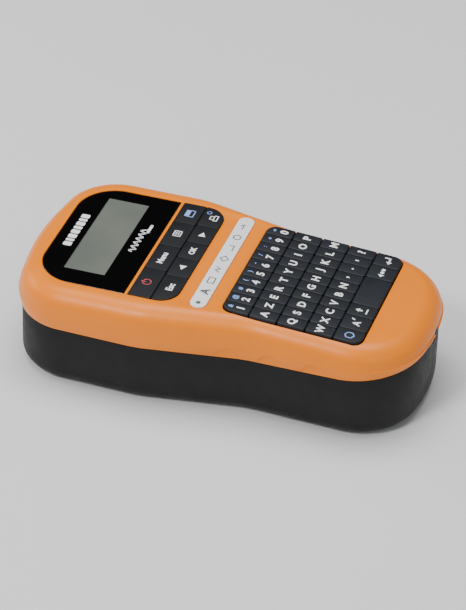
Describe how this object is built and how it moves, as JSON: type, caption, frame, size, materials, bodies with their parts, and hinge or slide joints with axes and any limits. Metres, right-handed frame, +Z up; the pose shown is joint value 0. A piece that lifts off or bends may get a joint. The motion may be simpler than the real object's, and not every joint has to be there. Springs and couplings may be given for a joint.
{
  "type": "label maker",
  "caption": "Hand-held label maker with a rounded bright shell, dark display window, rubber function keys, letter keyboard, cutter lever and removable back cover.",
  "frame": {"origin": "bottom centre of the whole object's box, on the surface it lies on", "axes": "+X to the right as the keys are read, +Y towards the display end, +Z up out of the key face"},
  "size_m": [0.109, 0.208, 0.0558],
  "materials": {
    "orange_plastic": "satin",
    "black_plastic": "satin",
    "window_black": "gloss",
    "key_slate": "matt",
    "pad_charcoal": "matt",
    "strip_white": "satin",
    "lcd_grey": "satin",
    "board_green": "satin",
    "silicone_grey": "matt",
    "tray_black": "matt",
    "cassette_grey": "satin",
    "tape_white": "satin",
    "ribbon_black": "satin",
    "gear_white": "satin",
    "rubber_black": "matt",
    "steel": "satin",
    "cell_green": "satin",
    "lever_orange": "satin"
  },
  "bodies": {
    "case": {"front_shell": "orange_plastic", "rear_shell": "black_plastic", "display_lens": "window_black", "lcd_module": "lcd_grey", "legend_strip": "strip_white", "circuit_board": "board_green", "keypad_mat": "silicone_grey", "dc_jack": "black_plastic", "drive_tray": "tray_black", "cell_1": "cell_green", "cell_2": "cell_green", "cell_3": "cell_green", "cell_4": "cell_green", "cell_5": "cell_green", "cell_6": "cell_green", "contact_foot": "steel", "contact_head": "steel", "cassette_case": "cassette_grey", "cassette_lid": "cassette_grey", "motor": "steel", "print_head": "steel", "cutter_pin": "steel", "screw_1": "steel", "screw_2": "steel", "screw_3": "steel", "screw_4": "steel"},
    "key_row_1": {"key_row_1": "key_slate"},
    "key_row_2": {"key_row_2": "key_slate"},
    "key_row_3": {"key_row_3": "key_slate"},
    "key_row_4": {"key_row_4": "key_slate"},
    "key_symbol": {"key_symbol": "key_slate"},
    "key_accent": {"key_accent": "key_slate"},
    "key_shift": {"key_shift": "key_slate"},
    "key_space": {"key_space": "key_slate"},
    "key_erase": {"key_erase": "key_slate"},
    "key_enter": {"key_enter": "key_slate"},
    "key_power": {"key_power": "pad_charcoal"},
    "key_menu": {"key_menu": "pad_charcoal"},
    "key_template": {"key_template": "pad_charcoal"},
    "key_label": {"key_label": "pad_charcoal"},
    "key_escape": {"key_escape": "pad_charcoal"},
    "key_left": {"key_left": "pad_charcoal"},
    "key_ok": {"key_ok": "pad_charcoal"},
    "key_right": {"key_right": "pad_charcoal"},
    "key_print": {"key_print": "pad_charcoal"},
    "cover": {"back_cover": "black_plastic"},
    "cutter": {"cutter_lever": "lever_orange", "cutter_blade": "steel"},
    "idler": {"idler_gear": "gear_white"},
    "pinion": {"motor_pinion": "steel"},
    "platen": {"platen_gear": "gear_white", "platen_roller": "rubber_black"},
    "link": {"link_gear": "gear_white"},
    "take_up": {"take_up_gear": "gear_white", "take_up_spool": "gear_white"},
    "tape_supply": {"tape_roll": "tape_white"},
    "ribbon_supply": {"ribbon_roll": "ribbon_black"}
  },
  "joints": [
    {"name": "key_row_1_press", "type": "slide", "parent": "case", "child": "key_row_1", "axis": [0, 0.0356, -0.9994], "range_m": [0, 0.0008], "stiffness_N_per_m": 2500, "springref_m": -0.0003},
    {"name": "key_row_2_press", "type": "slide", "parent": "case", "child": "key_row_2", "axis": [0, 0.0395, -0.9992], "range_m": [0, 0.0008], "stiffness_N_per_m": 2500, "springref_m": -0.0003},
    {"name": "key_row_3_press", "type": "slide", "parent": "case", "child": "key_row_3", "axis": [0, 0.0407, -0.9992], "range_m": [0, 0.0008], "stiffness_N_per_m": 2500, "springref_m": -0.0003},
    {"name": "key_row_4_press", "type": "slide", "parent": "case", "child": "key_row_4", "axis": [0, 0.0412, -0.9992], "range_m": [0, 0.0008], "stiffness_N_per_m": 2500, "springref_m": -0.0003},
    {"name": "key_symbol_press", "type": "slide", "parent": "case", "child": "key_symbol", "axis": [0, 0.0414, -0.9991], "range_m": [0, 0.0008], "stiffness_N_per_m": 700, "springref_m": -0.0003},
    {"name": "key_accent_press", "type": "slide", "parent": "case", "child": "key_accent", "axis": [0, 0.0414, -0.9991], "range_m": [0, 0.0008], "stiffness_N_per_m": 700, "springref_m": -0.0003},
    {"name": "key_shift_press", "type": "slide", "parent": "case", "child": "key_shift", "axis": [0, 0.0414, -0.9991], "range_m": [0, 0.0008], "stiffness_N_per_m": 700, "springref_m": -0.0003},
    {"name": "key_space_press", "type": "slide", "parent": "case", "child": "key_space", "axis": [0, 0.0414, -0.9991], "range_m": [0, 0.0008], "stiffness_N_per_m": 700, "springref_m": -0.0003},
    {"name": "key_erase_press", "type": "slide", "parent": "case", "child": "key_erase", "axis": [0, 0.0414, -0.9991], "range_m": [0, 0.0008], "stiffness_N_per_m": 700, "springref_m": -0.0003},
    {"name": "key_enter_press", "type": "slide", "parent": "case", "child": "key_enter", "axis": [0, 0.0414, -0.9991], "range_m": [0, 0.0008], "stiffness_N_per_m": 700, "springref_m": -0.0003},
    {"name": "key_power_press", "type": "slide", "parent": "case", "child": "key_power", "axis": [0, -0.0244, -0.9997], "range_m": [0, 0.0008], "stiffness_N_per_m": 700, "springref_m": -0.0003},
    {"name": "key_menu_press", "type": "slide", "parent": "case", "child": "key_menu", "axis": [0, -0.0244, -0.9997], "range_m": [0, 0.0008], "stiffness_N_per_m": 700, "springref_m": -0.0003},
    {"name": "key_template_press", "type": "slide", "parent": "case", "child": "key_template", "axis": [0, -0.0244, -0.9997], "range_m": [0, 0.0008], "stiffness_N_per_m": 700, "springref_m": -0.0003},
    {"name": "key_label_press", "type": "slide", "parent": "case", "child": "key_label", "axis": [0, -0.0244, -0.9997], "range_m": [0, 0.0008], "stiffness_N_per_m": 700, "springref_m": -0.0003},
    {"name": "key_escape_press", "type": "slide", "parent": "case", "child": "key_escape", "axis": [0, -0.0213, -0.9998], "range_m": [0, 0.0008], "stiffness_N_per_m": 700, "springref_m": -0.0003},
    {"name": "key_left_press", "type": "slide", "parent": "case", "child": "key_left", "axis": [0, -0.0213, -0.9998], "range_m": [0, 0.0008], "stiffness_N_per_m": 700, "springref_m": -0.0003},
    {"name": "key_ok_press", "type": "slide", "parent": "case", "child": "key_ok", "axis": [0, -0.0213, -0.9998], "range_m": [0, 0.0008], "stiffness_N_per_m": 700, "springref_m": -0.0003},
    {"name": "key_right_press", "type": "slide", "parent": "case", "child": "key_right", "axis": [0, -0.0213, -0.9998], "range_m": [0, 0.0008], "stiffness_N_per_m": 700, "springref_m": -0.0003},
    {"name": "key_print_press", "type": "slide", "parent": "case", "child": "key_print", "axis": [0, -0.0213, -0.9998], "range_m": [0, 0.0008], "stiffness_N_per_m": 700, "springref_m": -0.0003},
    {"name": "cover_lift_off", "type": "slide", "parent": "case", "child": "cover", "axis": [0, 0, -1], "range_m": [0, 0.04]},
    {"name": "cutter_press", "type": "hinge", "parent": "case", "child": "cutter", "pos_m": [0.04, 0.0625, 0.015], "axis": [0, 0, 1], "range_deg": [0, 8], "stiffness_Nm_per_rad": 0.4, "springref_deg": -5.73},
    {"name": "idler_spin", "type": "hinge", "parent": "case", "child": "idler", "pos_m": [0.02583, 0.03899, 0.015], "axis": [0, 0, 1], "continuous": true},
    {"name": "pinion_spin", "type": "hinge", "parent": "case", "child": "pinion", "pos_m": [0.0426, 0.038, 0.015], "axis": [0, 0, 1], "continuous": true},
    {"name": "platen_spin", "type": "hinge", "parent": "case", "child": "platen", "pos_m": [0.023, 0.02, 0.015], "axis": [0, 0, 1], "continuous": true},
    {"name": "link_spin", "type": "hinge", "parent": "case", "child": "link", "pos_m": [0.0068, 0.01556, 0.015], "axis": [0, 0, 1], "continuous": true},
    {"name": "take_up_spin", "type": "hinge", "parent": "case", "child": "take_up", "pos_m": [0.008, -0.002, 0.015], "axis": [0, 0, 1], "continuous": true},
    {"name": "tape_supply_spin", "type": "hinge", "parent": "case", "child": "tape_supply", "pos_m": [-0.013, -0.0172, 0.015], "axis": [0, 0, 1], "continuous": true},
    {"name": "ribbon_supply_spin", "type": "hinge", "parent": "case", "child": "ribbon_supply", "pos_m": [-0.015, 0.0258, 0.015], "axis": [0, 0, 1], "continuous": true}
  ],
  "couplings": [
    {"joint": "pinion_spin", "follows": "idler_spin", "ratio": -2.5},
    {"joint": "platen_spin", "follows": "idler_spin", "ratio": -1.6667},
    {"joint": "link_spin", "follows": "idler_spin", "ratio": 1.25},
    {"joint": "take_up_spin", "follows": "idler_spin", "ratio": -1.5},
    {"joint": "tape_supply_spin", "follows": "idler_spin", "ratio": 0.3871},
    {"joint": "ribbon_supply_spin", "follows": "idler_spin", "ratio": 0.57143}
  ]
}
